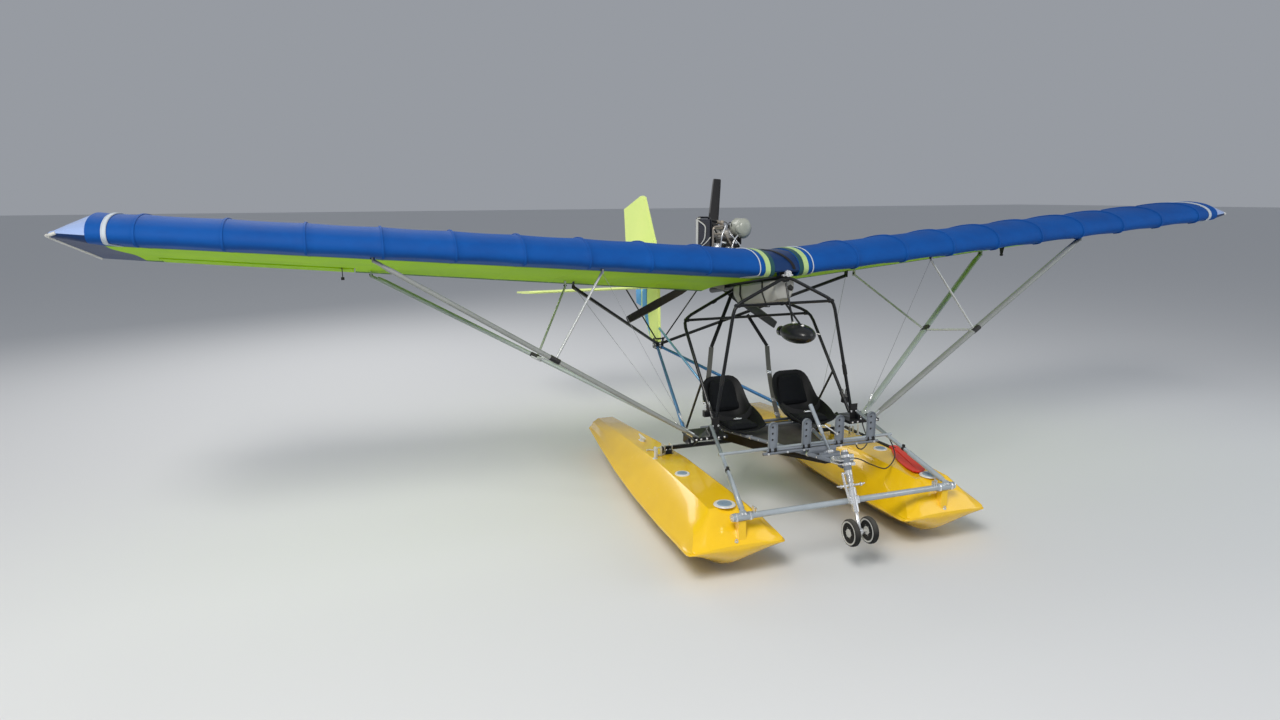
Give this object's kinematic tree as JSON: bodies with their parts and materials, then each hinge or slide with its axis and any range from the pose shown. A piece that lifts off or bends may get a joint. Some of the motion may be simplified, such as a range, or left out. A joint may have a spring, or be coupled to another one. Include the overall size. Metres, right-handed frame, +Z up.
{
  "type": "two-seat floatplane",
  "caption": "Open-frame two-seat floatplane with a strut-braced high wing, pusher engine and propeller, cruciform tail, hard-chined floats and a steerable twin nose wheel.",
  "frame": {"origin": "middle of the width and length, at the level of the float keels", "axes": "+X to port, +Y aft, +Z up"},
  "size_m": [10.12, 5.358, 2.8177],
  "materials": {
    "bare_alloy": "satin alloy",
    "black_tube": "black powder coat",
    "boom_blue": "blue anodised tube",
    "cable_black": "black cable sheath",
    "engine_metal": "cast alloy with brown staining",
    "fabric_blue": "tightly laced sailcloth, satin",
    "fabric_lime": "tightly laced sailcloth, satin",
    "fabric_navy": "tightly laced sailcloth, satin",
    "float_yellow": "glossy yellow gelcoat",
    "floor_dark": "dark laminate",
    "grey_tube": "dark grey paint",
    "muffler_steel": "cream coating",
    "pod_black": "smooth black",
    "propeller_black": "black composite",
    "rope_white": "white braided rope",
    "seat_black": "moulded black shell, matte",
    "strut_alloy": "weathered anodised alloy",
    "tank_plastic": "translucent white plastic",
    "tyre_black": "solid black rubber on silver discs"
  },
  "bodies": {
    "airframe": {"centre_cover": "fabric_navy", "control_stick": "bare_alloy", "control_tube": "boom_blue", "deck_rope": "rope_white", "engine": "engine_metal", "fin": "fabric_lime", "float_port": "float_yellow", "float_starboard": "float_yellow", "floor_frame": "grey_tube", "floor_skin": "floor_dark", "front_float_frame": "bare_alloy", "front_frame": "black_tube", "fuel_tank": "tank_plastic", "instrument_pod": "pod_black", "jury_struts_port": "strut_alloy", "jury_struts_starboard": "strut_alloy", "muffler": "muffler_steel", "nose_cable_inner": "cable_black", "nose_cable_outer": "cable_black", "radiator": "black_tube", "rear_float_frame": "black_tube", "rear_hoop": "black_tube", "root_tube": "black_tube", "rudder_pedals": "bare_alloy", "seat_port": "seat_black", "seat_starboard": "seat_black", "stabiliser": "fabric_lime", "stabiliser_struts": "black_tube", "tail_boom_lower_port": "boom_blue", "tail_boom_lower_starboard": "boom_blue", "tail_boom_upper_port": "black_tube", "tail_boom_upper_starboard": "black_tube", "tail_fitting": "black_tube", "wing_lower_cover_port": "fabric_lime", "wing_lower_cover_starboard": "fabric_lime", "wing_strut_front_port": "strut_alloy", "wing_strut_front_starboard": "strut_alloy", "wing_strut_rear_port": "strut_alloy", "wing_strut_rear_starboard": "strut_alloy", "wing_tip_port": "fabric_navy", "wing_tip_starboard": "fabric_navy", "wing_upper_cover_port": "fabric_blue", "wing_upper_cover_starboard": "fabric_blue"},
    "propeller": {"propeller": "propeller_black"},
    "nose_fork": {"nose_fork": "bare_alloy"},
    "nose_wheels": {"nose_wheels": "tyre_black"},
    "aileron_starboard": {"aileron_starboard": "fabric_lime"},
    "aileron_port": {"aileron_port": "fabric_lime"},
    "elevator": {"elevator": "fabric_lime"},
    "rudder": {"rudder": "fabric_lime"}
  },
  "joints": [
    {"name": "propeller_spin", "type": "hinge", "parent": "airframe", "child": "propeller", "pos_m": [0, 0.094, 1.885], "axis": [0, 1, 0], "continuous": true},
    {"name": "nose_steering", "type": "hinge", "parent": "airframe", "child": "nose_fork", "pos_m": [0, -2.343, 0.832], "axis": [0, -0.4147, -0.91], "range_deg": [-30, 30]},
    {"name": "nose_wheels_spin", "type": "hinge", "parent": "nose_fork", "child": "nose_wheels", "pos_m": [0, -2.581, 0.318], "axis": [1, 0, 0], "continuous": true},
    {"name": "aileron_starboard_hinge", "type": "hinge", "parent": "airframe", "child": "aileron_starboard", "pos_m": [-3.945, -0.209, 2.21832], "axis": [0.9958, 0, -0.0912], "range_deg": [-18, 18]},
    {"name": "aileron_port_hinge", "type": "hinge", "parent": "airframe", "child": "aileron_port", "pos_m": [3.945, -0.209, 2.21832], "axis": [0.9958, 0, 0.0912], "range_deg": [-18, 18]},
    {"name": "elevator_hinge", "type": "hinge", "parent": "airframe", "child": "elevator", "pos_m": [0, 1.869, 1.5905], "axis": [1, 0, 0], "range_deg": [-22, 22]},
    {"name": "rudder_hinge", "type": "hinge", "parent": "airframe", "child": "rudder", "pos_m": [0, 2.019, 1.8], "axis": [0, 0, 1], "range_deg": [-25, 25]}
  ],
  "couplings": [
    {"joint": "aileron_port_hinge", "follows": "aileron_starboard_hinge", "ratio": -1}
  ]
}
